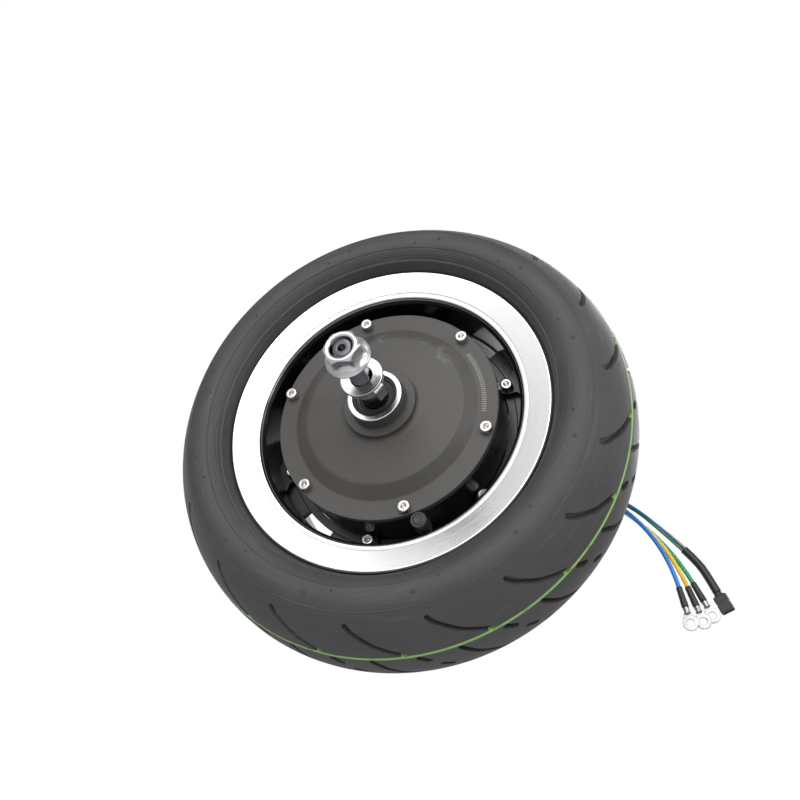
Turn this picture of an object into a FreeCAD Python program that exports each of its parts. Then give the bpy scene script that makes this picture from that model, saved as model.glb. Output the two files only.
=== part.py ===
"""Hub motor wheel: a pneumatic tyre on a small rim around a brushless motor, on a fixed axle.

Millimetres. The axle lies along Y with the front face towards -Y, +Z is up and the origin is the
centre of the tyre. Front and rear hardware are the same pieces facing opposite ways.
"""
import FreeCAD, Part
import math
import os

Vec = FreeCAD.Vector
FRONT = -1
REAR = 1

# ---- driving dimensions -------------------------------------------------------------------
CROWN_R = 139.0            # tyre radius at the middle of the tread
TREAD_ARC_R = 60.0         # roundness of the tread across its width
SHOULDER_Y = 40.0          # where the tread meets the sidewall
SEAT_R = 82.6              # bead seat of a 6.5 inch rim
BARREL_R = 77.3            # inside of the rim's barrel
LIP_OUTER = (95.4, 34.6)   # radius and distance from the centre plane
LIP_INNER = (80.0, 30.4)
SHELL_R = 66.0             # outside of the motor
SHELL_HALF = 27.5
MAGNET_SEAT_R = 58.5
COVER_FACE = 31.5          # flat ring that the cover screws press on
RAMP_R = 55.5              # a ramp leads from the screw ring up to the raised disc
DISC_R = 46.5
DISC_FACE = 36.4
COVER_SCREW_R = 62.0
BOSS_R = 21.3
BOSS_END = 43.4
COLLAR_R = 15.9
COLLAR_BORE_R = 12.95
COLLAR_END = 51.8
SCREW_COUNT = 6
COVER_SCREW_ANGLE = 101.7  # first screw, degrees from +X towards +Z
RIM_SCREW_R = 69.8
RIM_SCREW_ANGLE = 16.5
WINDOW_HALF_ANGLE = 8.5    # curved windows through the web, midway between rim screws
WINDOW_INNER = 71.2
WINDOW_OUTER = 76.4
VALVE_ANGLE = -73.5
VALVE_Y = -12.5
VALVE_R = 71.6
VALVE_STEM = 9.5
VALVE_CAP = 12.0
VALVE_CAP_R = 4.7
LUG_HOLE_R = 2.15          # ring terminals
HEAT_SHRINK = 12.0

AXLE_R = 7.5               # bearing journals
THREAD_R = 6.0             # M12 ends
THREAD_START = 64.0
AXLE_HALF = 103.0
FLAT_HALF = 5.0            # two flats on each threaded end, 10 mm across
NUT_SEAT = 92.5            # wheel side of the flange nut
WASHER_SEAT = 73.1         # outer face of the flat washer
WASHER_THICK = 1.8
TAB_WASHER_THICK = 2.0
BEARING_IN = 31.0
BEARING_OUT = 42.0
RACE_OUTER_R = 17.5
BALL_CIRCLE_R = 12.5
BALL_R = 2.65
BALL_COUNT = 8
GROOVE_R = 2.75

STATOR_R = 55.0
STATOR_HALF = 15.0
SLOTS = 27
MAGNETS = 30
TOOTH_WIDTH = 4.2

TREAD_PITCHES = 18
TREAD_DEPTH = 3.6
GROOVE_HALF = 1.7          # half width of the long grooves
GRIP = 0.02                # play left in tight fits
M4_HEAD_R = 3.5
M4_HEAD = 4.0
M4_R = 1.95
M4_HOLE_R = 2.05

CABLE_Y = 58.0             # where the cable leaves the rear of the axle
CABLE_R = 3.6
PHASE_R = 1.25
HALL_R = 0.55
SLEEVE_R = 2.4

# ---- cable and wire routes, from piece to piece -------------------------------------------
JACKET_ROUTE = [(36, 58, 0), (54, 58, 0), (78, 58, -5), (94, 58.4, -16)]
SLEEVE_ROUTE = [(153.5, 65, -64.5), (159.5, 65.2, -72.0), (164.0, 65, -81.0), (167.5, 64.6, -90.5)]
BOOT_LENGTH = 16.0
BOOT_RUN = 22.0            # each wire leaves the boot square to its face, over this run
SLEEVE_RUN = 15.0          # and each sensor wire goes square into the sleeve
PHASE_ROW = -1.6           # height of each row of wires on the boot's face
HALL_ROW = 1.9
HALL_CIRCLE = 1.4          # sensor wires stand on this circle at the sleeve's face
PHASES = {                 # place along the row, last bend, end
    "blue": (-2.9, (144.0, 54.5, -70.0), (147.3, 54.0, -89.5)),
    "yellow": (0.0, (146.5, 58.5, -69.0), (152.0, 58.0, -88.5)),
    "green": (2.9, (148.2, 62.3, -67.5), (155.3, 62.0, -85.3)),
}
HALLS = {                  # place along the row, angle on the sleeve's circle
    "sense_blue": (-3.4, 162),
    "sense_green": (-1.7, -126),
    "sense_yellow": (0.0, 90),
    "black": (1.7, -54),
    "red": (3.4, 18),
}


# ---- small helpers ------------------------------------------------------------------------
def turned(outline, side=REAR):
    """A closed outline of (radius, distance) points turned about the axle."""
    points = [Vec(radius, side * distance, 0) for radius, distance in outline]
    face = Part.Face(Part.makePolygon(points + points[:1]))
    return solid(face.revolve(Vec(0, 0, 0), Vec(0, 1, 0), 360))


def turned_edges(edges):
    """Edges that close an outline in the XY plane, turned about the axle."""
    face = Part.Face(Part.Wire(edges))
    return solid(face.revolve(Vec(0, 0, 0), Vec(0, 1, 0), 360))


def solid(shape):
    """The shape as a solid that faces outwards."""
    body = shape if shape.ShapeType == "Solid" else Part.Solid(shape.Shells[0])
    if body.Volume < 0:
        body.reverse()
    return body


def ring(outer, inner, start, end):
    """A plain ring about the axle between two distances along it."""
    low, high = sorted((start, end))
    body = rod(outer, (0, low, 0), (0, high, 0))
    if inner > 0:
        body = body.cut(rod(inner, (0, low - 1, 0), (0, high + 1, 0)))
    return body


def rod(radius, start, end):
    """A cylinder from one point to another."""
    base = Vec(*start)
    way = Vec(*end) - base
    return Part.makeCylinder(radius, way.Length, base, way)


def taper(first, last, start, end):
    """A cone frustum from one point to another."""
    base = Vec(*start)
    way = Vec(*end) - base
    return Part.makeCone(first, last, way.Length, base, way)


def box(low, high):
    """A box between two corners."""
    size = [high[axis] - low[axis] for axis in range(3)]
    return Part.makeBox(size[0], size[1], size[2], Vec(*low))


def spun(shape, degrees):
    """A copy turned about the axle, from +X towards +Z."""
    copy = shape.copy()
    copy.rotate(Vec(0, 0, 0), Vec(0, 1, 0), -degrees)
    return copy


def around(shape, count, first=0.0):
    """Equally spaced copies about the axle, the first at an angle."""
    return [spun(shape, first + 360.0 * number / count) for number in range(count)]


def hexagon(across, start, end):
    """A hexagonal prism along Y between two distances."""
    low, high = sorted((start, end))
    corner = across / math.sqrt(3)
    angles = [math.radians(60 * number) for number in range(6)]
    points = [Vec(corner * math.cos(angle), low, corner * math.sin(angle)) for angle in angles]
    face = Part.Face(Part.makePolygon(points + points[:1]))
    return face.extrude(Vec(0, high - low, 0))


# ---- axle and what is fixed to it ---------------------------------------------------------
def make_axle():
    shoulder = 9.0
    chamfer = 1.0
    outline = [(0, -AXLE_HALF), (THREAD_R - chamfer, -AXLE_HALF), (THREAD_R, chamfer - AXLE_HALF),
               (THREAD_R, -THREAD_START), (AXLE_R, -THREAD_START), (AXLE_R, -BEARING_IN),
               (shoulder, -BEARING_IN)]
    outline += [(radius, -distance) for radius, distance in reversed(outline)]
    body = turned(outline)
    for side in (FRONT, REAR):
        start, end = sorted((side * THREAD_START, side * (AXLE_HALF + 1)))
        for sign in (-1, 1):
            low, high = sorted((sign * FLAT_HALF, sign * 2 * AXLE_R))
            body = body.cut(box((low, start, -2 * AXLE_R), (high, end, 2 * AXLE_R)))
        centre = taper(0.5, 2.2, (0, side * (AXLE_HALF - 5), 0), (0, side * (AXLE_HALF + 0.1), 0))
        body = body.cut(centre)
    bore = 3.8
    body = body.cut(rod(bore, (0, 20, 0), (0, CABLE_Y, 0)))
    body = body.cut(rod(bore + 0.4, (0, CABLE_Y, 0), (2 * AXLE_R, CABLE_Y, 0)))
    body = body.cut(rod(3.0, (0, 22, 0), (0, 22, 2 * AXLE_R)))
    return body.cut(key_block(0.05))


KEY_HALF = 9.5


def key_block(grow):
    return box((-2.5 - grow, -KEY_HALF - grow, -11.5 - grow), (2.5 + grow, KEY_HALF + grow, -6.5 + grow))


def make_stator_hub():
    """Cast spider that carries the laminations on the axle."""
    hub = ring(14, 9 + GRIP, -12, 12)
    web = ring(32, 13, -3, 3)
    for hole in around(rod(5, (22.5, -4, 0), (22.5, 4, 0)), 6, 30):
        web = web.cut(hole)
    band = ring(34, 30, -14, 14)
    body = hub.fuse([web, band])
    return body.cut(key_block(0.05))


def make_stator_core():
    """Laminated ring with a tooth between each pair of slots."""
    root = 42.0
    tip = 52.0
    slot_opening = 2.0
    yoke = ring(root, 34 + GRIP, -STATOR_HALF, STATOR_HALF)
    tooth = box((root - 1, -STATOR_HALF, -TOOTH_WIDTH / 2), (tip + 1, STATOR_HALF, TOOTH_WIDTH / 2))
    shoe_ring = ring(STATOR_R, tip, -STATOR_HALF, STATOR_HALF)
    shoe_half = math.pi * tip / SLOTS - slot_opening / 2
    shoe = shoe_ring.common(box((0, -STATOR_HALF, -shoe_half), (STATOR_R + 1, STATOR_HALF, shoe_half)))
    teeth = around(tooth, SLOTS) + around(shoe, SLOTS)
    return yoke.fuse(teeth)


def make_windings():
    """One coil around each tooth."""
    inner = TOOTH_WIDTH / 2 + 0.05
    outer = inner + 2.1
    overhang = STATOR_HALF + 2.8
    start, end = 43.0, 51.4
    coil = box((start, -overhang, -outer), (end, overhang, outer))
    window = box((start - 1, -STATOR_HALF - 0.05, -inner), (end + 1, STATOR_HALF + 0.05, inner))
    return Part.makeCompound(around(coil.cut(window), SLOTS))


def make_hall_board():
    return sector(37.0, 38, 54.3, 18.6, 20.2)


def make_hall_sensors():
    """Three sensors, each in a slot mouth, on a leg from the board."""
    pitch = 360.0 / SLOTS
    chip = box((52.3, 9.5, -0.75), (54.2, 15.5, 0.75))
    leg = box((52.8, 15.5, -0.6), (53.6, 18.6, 0.6))
    piece = chip.fuse(leg)
    return Part.makeCompound([spun(piece, pitch * (0.5 + step)) for step in (-2, 0, 1)])


def make_flange_nut(side):
    """M12 nut with a round flange, and a washer face that meets the frame."""
    flange_r, flange, height, across = 12.5, 2.6, 12.0, 18.0
    outer = side * (NUT_SEAT + height)
    crown = turned([(0, NUT_SEAT), (across, NUT_SEAT), (across, NUT_SEAT + height - 3.2),
                    (across / 2 - 0.3, NUT_SEAT + height), (0, NUT_SEAT + height)], side)
    body = hexagon(across, side * NUT_SEAT, outer).common(crown)
    skirt = turned([(0, NUT_SEAT), (flange_r, NUT_SEAT), (flange_r, NUT_SEAT + 1.2),
                    (across / 2, NUT_SEAT + flange + 0.8), (0, NUT_SEAT + flange + 0.8)], side)
    body = body.fuse(skirt)
    return body.cut(ring(THREAD_R + GRIP, 0, side * (NUT_SEAT - 1), side * (NUT_SEAT + height + 1)))


def make_washer(side):
    return ring(12.0, THREAD_R + 0.25, side * WASHER_SEAT, side * (WASHER_SEAT - WASHER_THICK))


def make_tab_washer(side):
    """Anti-turn washer: flats inside, and a tab bent in towards the wheel."""
    outer = WASHER_SEAT - WASHER_THICK
    inner = outer - TAB_WASHER_THICK
    plate = ring(11.7, 0, side * outer, side * inner)
    hole = rod(THREAD_R + 0.2, (0, side * (inner - 1), 0), (0, side * (outer + 1), 0))
    flats = box((-FLAT_HALF - 0.15, -200, -20), (FLAT_HALF + 0.15, 200, 20))
    low, high = sorted((side * outer, side * (outer - 9.0)))
    tab = box((9.8, low, -3.2), (12.9, high, 3.2))
    root = box((9.0, min(side * outer, side * inner), -3.2), (12.9, max(side * outer, side * inner), 3.2))
    return plate.fuse([spun(root, -40), spun(tab, -40)]).cut(hole.common(flats))


def make_spacer(side):
    inner = WASHER_SEAT - WASHER_THICK - TAB_WASHER_THICK
    return ring(9.4, THREAD_R + 0.1, side * THREAD_START, side * inner)


def race(outer, inner, side):
    """A bearing ring with the ball groove turned out of it."""
    middle = side * (BEARING_IN + BEARING_OUT) / 2
    plain = ring(outer, inner, side * BEARING_IN, side * BEARING_OUT)
    groove = Part.makeTorus(BALL_CIRCLE_R, GROOVE_R, Vec(0, middle, 0), Vec(0, 1, 0))
    return plain.cut(groove)


def ball_centre(side):
    return (BALL_CIRCLE_R, side * (BEARING_IN + BEARING_OUT) / 2, 0)


def make_balls(side):
    ball = Part.makeSphere(BALL_R, Vec(*ball_centre(side)))
    return Part.makeCompound(around(ball, BALL_COUNT))


def make_cage(side):
    _, middle, _ = ball_centre(side)
    band = ring(13.1, 11.9, middle - 3.4, middle + 3.4)
    pocket = rod(BALL_R + 0.1, (10, middle, 0), (15, middle, 0))
    return band.cut(Part.makeCompound(around(pocket, BALL_COUNT)))


# ---- wheel and motor case -----------------------------------------------------------------
def make_rim():
    """Barrel with two polished lips, and six lugs inside it that the motor bolts to."""
    lip_r, lip_y = LIP_OUTER
    in_r, in_y = LIP_INNER
    well_r, well_half = 80.6, 9.0
    outside = [(in_r, in_y), (lip_r, lip_y), (lip_r + 1.0, lip_y - 1.0), (lip_r + 0.6, lip_y - 2.6),
               (lip_r - 1.6, lip_y - 3.4), (SEAT_R + 3.0, 29.0), (SEAT_R, 26.4), (SEAT_R, well_half + 4),
               (well_r, well_half)]
    outline = outside + [(radius, -distance) for radius, distance in reversed(outside)]
    outline += [(BARREL_R, -27.5), (BARREL_R, 27.5)]
    body = turned(outline)
    lug = rim_lug(-6.2, 1.9, 78.4, 11.0)
    web = ring(BARREL_R + 1.5, SHELL_R + 0.1, -2.0, 1.9)
    window = sector(WINDOW_HALF_ANGLE, WINDOW_INNER, WINDOW_OUTER, -3.0, 3.0)
    web = web.cut(around(window, SCREW_COUNT, RIM_SCREW_ANGLE + 30))
    body = body.fuse([web] + around(lug, SCREW_COUNT, RIM_SCREW_ANGLE))
    hole = rod(M4_HOLE_R, (RIM_SCREW_R, -20, 0), (RIM_SCREW_R, 20, 0))
    body = body.cut(Part.makeCompound(around(hole, SCREW_COUNT, RIM_SCREW_ANGLE)))
    seat = rod(3.2, (70, VALVE_Y, 0), (90, VALVE_Y, 0))
    return body.cut(spun(seat, VALVE_ANGLE)).removeSplitter()


def sector(half_angle, inner, outer, start, end):
    """Part of a plain ring, centred on +X."""
    reach = 2 * outer
    edge = reach * math.tan(math.radians(half_angle))
    wedge = Part.Face(Part.makePolygon([
        Vec(0, start, 0), Vec(reach, start, -edge), Vec(reach, start, edge), Vec(0, start, 0)]))
    return ring(outer, inner, start, end).common(wedge.extrude(Vec(0, end - start, 0)))


def rim_lug(start, end, outer, half_width):
    """A pad with a rounded nose around one rim screw."""
    nose = rod(4.3, (RIM_SCREW_R + 0.8, start, 0), (RIM_SCREW_R + 0.8, end, 0))
    slab = Part.Face(Part.makePolygon([
        Vec(RIM_SCREW_R + 0.2, start, -4.2), Vec(outer, start, -half_width),
        Vec(outer, start, half_width), Vec(RIM_SCREW_R + 0.2, start, 4.2),
        Vec(RIM_SCREW_R + 0.2, start, -4.2)])).extrude(Vec(0, end - start, 0))
    within = ring(BARREL_R + 1.5, 0, start, end)
    return slab.fuse(nose).common(within)


def make_shell():
    """Steel motor ring with six ears for the rim screws."""
    body = ring(SHELL_R, MAGNET_SEAT_R, -SHELL_HALF, SHELL_HALF)
    ear = box((SHELL_R - 1.5, 2.0, -7.5), (RIM_SCREW_R + 5.2, 11.0, 7.5))
    body = body.fuse(around(ear, SCREW_COUNT, RIM_SCREW_ANGLE))
    hole = rod(M4_HOLE_R, (RIM_SCREW_R, -20, 0), (RIM_SCREW_R, 20, 0))
    body = body.cut(Part.makeCompound(around(hole, SCREW_COUNT, RIM_SCREW_ANGLE)))
    tapped = []
    for side in (FRONT, REAR):
        hole = rod(M4_HOLE_R, (COVER_SCREW_R, side * 16, 0), (COVER_SCREW_R, side * 40, 0))
        tapped += around(hole, SCREW_COUNT, COVER_SCREW_ANGLE)
    return body.cut(Part.makeCompound(tapped)).removeSplitter()


def make_magnets():
    """Flat arcs side by side inside the motor ring, with a small gap between them."""
    half_angle = 0.44 * 360.0 / MAGNETS
    magnet = sector(half_angle, STATOR_R + 0.8, MAGNET_SEAT_R - GRIP, -STATOR_HALF, STATOR_HALF)
    return Part.makeCompound(around(magnet, MAGNETS))


def make_cover(side):
    """Cast end cover: screw ring, raised middle, bearing boss and the machined collar."""
    outline = [(SHELL_R, SHELL_HALF), (SHELL_R, COVER_FACE - 1.0), (SHELL_R - 1.0, COVER_FACE),
               (RAMP_R, COVER_FACE), (DISC_R, DISC_FACE), (24.5, DISC_FACE + 1.8),
               (22.0, DISC_FACE + 2.3), (BOSS_R, DISC_FACE + 3.2), (BOSS_R, BOSS_END - 0.6), (BOSS_R - 0.6, BOSS_END),
               (COLLAR_R, BOSS_END), (COLLAR_R, COLLAR_END), (COLLAR_BORE_R, COLLAR_END),
               (COLLAR_BORE_R, BEARING_OUT + 0.2), (RACE_OUTER_R, BEARING_OUT + 0.2),
               (RACE_OUTER_R, BEARING_IN - 0.4), (21.0, BEARING_IN - 0.4), (24.0, 28.0),
               (MAGNET_SEAT_R - 3.0, 28.0), (MAGNET_SEAT_R - 3.0, 24.0),
               (MAGNET_SEAT_R - 0.1, 24.0), (MAGNET_SEAT_R - 0.1, SHELL_HALF)]
    body = turned(outline, side)
    hole = rod(M4_HOLE_R, (COVER_SCREW_R, side * 20, 0), (COVER_SCREW_R, side * 40, 0))
    return body.cut(Part.makeCompound(around(hole, SCREW_COUNT, COVER_SCREW_ANGLE)))


def cap_screws(radius, first, seat, length, side):
    """M4 socket cap screws on a circle, heads towards one side."""
    head_end = side * seat + side * M4_HEAD
    head = rod(M4_HEAD_R, (radius, side * seat, 0), (radius, head_end, 0))
    shank = rod(M4_R, (radius, side * (seat - length), 0), (radius, side * seat, 0))
    socket = hexagon(3.0, head_end - side * 2.2, head_end + side)
    socket.translate(Vec(radius, 0, 0))
    screw = head.fuse(shank).cut(socket)
    return Part.makeCompound(around(screw, SCREW_COUNT, first))


def make_seal(side):
    return ring(COLLAR_BORE_R - GRIP, AXLE_R + 0.06, side * 45.0, side * 50.2)


def tread_height(distance):
    """Tyre radius at a distance from the centre plane."""
    centre = CROWN_R - TREAD_ARC_R
    return centre + math.sqrt(TREAD_ARC_R ** 2 - distance ** 2)


def tyre_outline():
    """Edges of the tyre's section: tread, two sidewalls, beads and the air space."""
    def point(pair, side):
        return Vec(pair[0], side * pair[1], 0)

    shoulder = (tread_height(SHOULDER_Y), SHOULDER_Y)
    widest = (111.0, 46.4)
    rim_edge = (98.2, 37.0)
    over_lip = (96.9, 32.3)
    under_lip = (94.4, 30.9)
    heel = (84.2, 26.0)
    toe = (83.0, 18.5)
    inner_low = (101.0, 25.0)
    inner_side = (110.0, 39.6)
    inner_high = (120.6, 33.0)
    edges = [Part.Arc(point(shoulder, FRONT), Vec(CROWN_R, 0, 0), point(shoulder, REAR)).toShape()]
    for side in (REAR, FRONT):
        edges += [
            Part.Arc(point(shoulder, side), point(widest, side), point(rim_edge, side)).toShape(),
            Part.LineSegment(point(rim_edge, side), point(over_lip, side)).toShape(),
            Part.LineSegment(point(over_lip, side), point(under_lip, side)).toShape(),
            Part.LineSegment(point(under_lip, side), point(heel, side)).toShape(),
            Part.LineSegment(point(heel, side), point(toe, side)).toShape(),
            Part.LineSegment(point(toe, side), point(inner_low, side)).toShape(),
            Part.Arc(point(inner_low, side), point(inner_side, side), point(inner_high, side)).toShape()]
    edges.append(Part.Arc(point(inner_high, FRONT), Vec(130.0, 0, 0), point(inner_high, REAR)).toShape())
    return [edge for group in Part.sortEdges(edges) for edge in group]


def groove_shape(points, half_width):
    """A round-ended slot through the tread along (angle, distance) points."""
    middle = sum(angle for angle, _ in points) / len(points)
    inside, reach = CROWN_R - 30, 45.0
    places = []
    for angle, distance in points:
        height = tread_height(distance)
        places.append((height * math.sin(math.radians(angle - middle)), distance))
    pieces = [Part.makeCylinder(half_width, reach, Vec(inside, y, z), Vec(1, 0, 0)) for z, y in places]
    for (z1, y1), (z2, y2) in zip(places, places[1:]):
        along = Vec(0, y2 - y1, z2 - z1)
        across = Vec(0, -along.z, along.y).normalize() * half_width
        start, end = Vec(inside, y1, z1), Vec(inside, y2, z2)
        corners = [start + across, end + across, end - across, start - across, start + across]
        pieces.append(Part.Face(Part.makePolygon(corners)).extrude(Vec(reach, 0, 0)))
    body = pieces[0].fuse(pieces[1:])
    floor = turned_edges(groove_floor_edges())
    return spun(body.cut(floor), middle)


def groove_floor_edges():
    """Outline of the solid rubber below the tread grooves."""
    half = SHOULDER_Y + 8.0
    drop = TREAD_ARC_R - math.sqrt(TREAD_ARC_R ** 2 - half ** 2)
    low = CROWN_R - TREAD_DEPTH - drop
    front, rear = Vec(low, -half, 0), Vec(low, half, 0)
    arc = Part.Arc(front, Vec(CROWN_R - TREAD_DEPTH, 0, 0), rear).toShape()
    lines = [Part.LineSegment(rear, Vec(0, half, 0)).toShape(),
             Part.LineSegment(Vec(0, half, 0), Vec(0, -half, 0)).toShape(),
             Part.LineSegment(Vec(0, -half, 0), front).toShape()]
    return [arc] + lines


def tread_pitch():
    """The grooves of one repeat: shoulder grooves, a middle groove and three ovals."""
    symmetry = 1.4
    front_groove = [(2.3, -37.8), (3.4, -34.8), (8.0, -26.5), (13.9, -18.6)]
    rear_groove = [(2 * symmetry - angle, -distance) for angle, distance in front_groove]
    middle_groove = [(6.0, -14.0), (8.6, -4.0), (12.0, 6.0), (14.4, 14.0)]
    grooves = [groove_shape(line, GROOVE_HALF) for line in (front_groove, rear_groove, middle_groove)]
    ovals = []
    for step in (-1, 0, 1):
        angle, distance = symmetry + 4.0 * step, 12.0 * step
        ovals.append(groove_shape([(angle - 0.8, distance - 1.8), (angle + 0.8, distance + 1.8)], 1.9))
    return grooves + ovals


def make_tyre():
    body = turned_edges(tyre_outline())
    grooves = []
    for cutter in tread_pitch():
        grooves += around(cutter, TREAD_PITCHES)
    return body.cut(grooves)


def make_valve():
    """Bent valve: foot inside the rim, stem turned towards the front."""
    foot = rod(5.5, (SEAT_R + 0.05, VALVE_Y, 0), (SEAT_R + 1.8, VALVE_Y, 0))
    neck = rod(3.1, (VALVE_R, VALVE_Y, 0), (SEAT_R + 1.0, VALVE_Y, 0))
    elbow = Part.makeSphere(3.1, Vec(VALVE_R, VALVE_Y, 0))
    stem = rod(2.6, (VALVE_R, VALVE_Y, 0), (VALVE_R, VALVE_Y - VALVE_STEM, 0))
    return spun(foot.fuse([neck, elbow, stem]), VALVE_ANGLE)


def make_valve_cap():
    start = VALVE_Y - VALVE_STEM
    shoulder = start - VALVE_CAP + 2.0
    body = rod(VALVE_CAP_R, (VALVE_R, start, 0), (VALVE_R, shoulder, 0))
    tip = taper(VALVE_CAP_R, VALVE_CAP_R - 1.3, (VALVE_R, shoulder, 0), (VALVE_R, shoulder - 2.0, 0))
    return spun(body.fuse(tip), VALVE_ANGLE)


# ---- cable and wires ----------------------------------------------------------------------
def cord(name, route, radius):
    """A tube along straight runs joined by tangent arcs."""
    points = [Vec(*place) for place in route]
    edges = []
    here = points[0]
    length = 0.0
    radii = []
    for before, corner, after in zip(points, points[1:], points[2:]):
        back = (before - corner).normalize()
        ahead = (after - corner).normalize()
        half_turn = (math.pi - back.getAngle(ahead)) / 2
        trim = 0.45 * min((before - corner).Length, (after - corner).Length)
        bend = trim / math.tan(half_turn)
        enter, leave = corner + back * trim, corner + ahead * trim
        centre = corner + (back + ahead).normalize() * (bend / math.cos(half_turn))
        middle = centre + (corner - centre).normalize() * bend
        edges.append(Part.LineSegment(here, enter).toShape())
        edges.append(Part.Arc(enter, middle, leave).toShape())
        length += (enter - here).Length + 2 * half_turn * bend
        radii.append(round(bend, 1))
        here = leave
    edges.append(Part.LineSegment(here, points[-1]).toShape())
    length += (points[-1] - here).Length
    start_way = points[1] - points[0]
    section = Part.Wire(Part.makeCircle(radius, points[0], start_way))
    tube = solid(Part.Wire(edges).makePipeShell([section], True, True))
    expected = math.pi * radius ** 2 * length
    print(f"{name}: length {length:.1f}, bends {radii}, volume ratio {tube.Volume / expected:.4f}")
    return tube


def end_frame(route):
    """Where a route ends and the way it points there."""
    end = Vec(*route[-1])
    return end, (end - Vec(*route[-2])).normalize()


def face_axes(way):
    """Two directions in the face square to a way: across, close to +Y, and upward."""
    across = (Vec(0, 1, 0) - way * way.y).normalize()
    return across, across.cross(way).normalize() * -1


def wire_start(place, row):
    """A wire's first two points, straight out of the boot's end face."""
    end, way = end_frame(JACKET_ROUTE)
    across, upward = face_axes(way)
    start = end + way * BOOT_LENGTH + across * place + upward * row
    return [tuple(start), tuple(start + way * BOOT_RUN)]


def phase_route(place, last_bend, end):
    return wire_start(place, PHASE_ROW) + [last_bend, end]


def hall_route(place, angle):
    """From the boot's face to a place on the sleeve's face, square to both."""
    mouth = Vec(*SLEEVE_ROUTE[0])
    way = (Vec(*SLEEVE_ROUTE[1]) - mouth).normalize()
    across, upward = face_axes(way)
    turn = math.radians(angle)
    end = mouth + (across * math.cos(turn) + upward * math.sin(turn)) * HALL_CIRCLE
    return wire_start(place, HALL_ROW) + [tuple(end - way * SLEEVE_RUN), tuple(end)]


def make_strain_relief():
    """Rubber gland: a plug in the axle's side hole, a flange and a tapering sleeve."""
    plug = rod(4.1, (4.6, CABLE_Y, 0), (8.0, CABLE_Y, 0))
    flange = rod(5.4, (8.0, CABLE_Y, 0), (10.0, CABLE_Y, 0))
    sleeve = taper(5.2, CABLE_R + 0.6, (10.0, CABLE_Y, 0), JACKET_ROUTE[0])
    return plug.fuse([flange, sleeve])


def make_boot():
    """Moulded end of the jacket, where the wires part."""
    end, way = end_frame(JACKET_ROUTE)
    return taper(CABLE_R + 1.0, CABLE_R + 1.6, tuple(end), tuple(end + way * BOOT_LENGTH))


def make_heat_shrink(route):
    end, way = end_frame(route)
    return taper(PHASE_R + 0.55, PHASE_R + 0.75, tuple(end), tuple(end + way * HEAT_SHRINK))


def make_ring_lug(route):
    """Crimped ring terminal: barrel against the heat-shrink, flat ring with its stud hole."""
    end, way = end_frame(route)
    start = end + way * HEAT_SHRINK
    hole = start + way * 9.0
    barrel = rod(1.9, tuple(start), tuple(start + way * 4.0))
    flat = Part.makeCylinder(4.2, 1.0, hole - Vec(0, 0.5, 0), Vec(0, 1, 0))
    across = Vec(way.z, 0, -way.x).normalize() * 1.9
    tongue_start, tongue_end = start + way * 3.0, hole
    lift = Vec(0, 0.5, 0)
    corners = [tongue_start + across - lift, tongue_end + across - lift,
               tongue_end - across - lift, tongue_start - across - lift,
               tongue_start + across - lift]
    tongue = Part.Face(Part.makePolygon(corners)).extrude(Vec(0, 1.0, 0))
    drill = Part.makeCylinder(LUG_HOLE_R, 4.0, hole - Vec(0, 2, 0), Vec(0, 1, 0))
    print("ring lug hole at", [round(value, 2) for value in hole])
    return flat.fuse([barrel, tongue]).cut(drill)


def make_sensor_plug():
    """Small connector at the end of the sensor sleeve."""
    end, way = end_frame(SLEEVE_ROUTE)
    body = Part.makeBox(7.6, 5.6, 10.0, Vec(-3.8, -2.8, 0))
    lead = Part.makeCone(SLEEVE_R + 0.2, 2.7, 2.5, Vec(0, 0, 0), Vec(0, 0, 1))
    body.translate(Vec(0, 0, 2.5))
    plug = body.fuse(lead)
    turn = FreeCAD.Rotation(Vec(0, 0, 1), way)
    plug.Placement = FreeCAD.Placement(end, turn)
    return plug


# ---- the assembly -------------------------------------------------------------------------
def fixed_pieces():
    pieces = {
        "axle": make_axle(),
        "stator_hub": make_stator_hub(),
        "axle_key": key_block(0.0),
        "stator_core": make_stator_core(),
        "stator_windings": make_windings(),
        "hall_board": make_hall_board(),
        "hall_sensors": make_hall_sensors(),
        "cable_strain_relief": make_strain_relief(),
    }
    for name, side in (("front", FRONT), ("rear", REAR)):
        pieces[name + "_nut"] = make_flange_nut(side)
        pieces[name + "_washer"] = make_washer(side)
        pieces[name + "_tab_washer"] = make_tab_washer(side)
        pieces[name + "_spacer"] = make_spacer(side)
        pieces[name + "_inner_race"] = race(10.4, AXLE_R + GRIP, side)
    return pieces


def turning_pieces():
    pieces = {
        "rim": make_rim(),
        "tyre": make_tyre(),
        "motor_shell": make_shell(),
        "magnets": make_magnets(),
        "rim_screws": cap_screws(RIM_SCREW_R, RIM_SCREW_ANGLE, 6.2, 16.0, FRONT),
        "valve_stem": make_valve(),
        "valve_cap": make_valve_cap(),
    }
    for name, side in (("front", FRONT), ("rear", REAR)):
        pieces[name + "_cover"] = make_cover(side)
        pieces[name + "_cover_screws"] = cap_screws(
            COVER_SCREW_R, COVER_SCREW_ANGLE, COVER_FACE, 14.0, side)
        pieces[name + "_seal"] = make_seal(side)
        pieces[name + "_outer_race"] = race(RACE_OUTER_R - GRIP, 14.6, side)
        pieces[name + "_balls"] = make_balls(side)
        pieces[name + "_ball_cage"] = make_cage(side)
    return pieces


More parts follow.
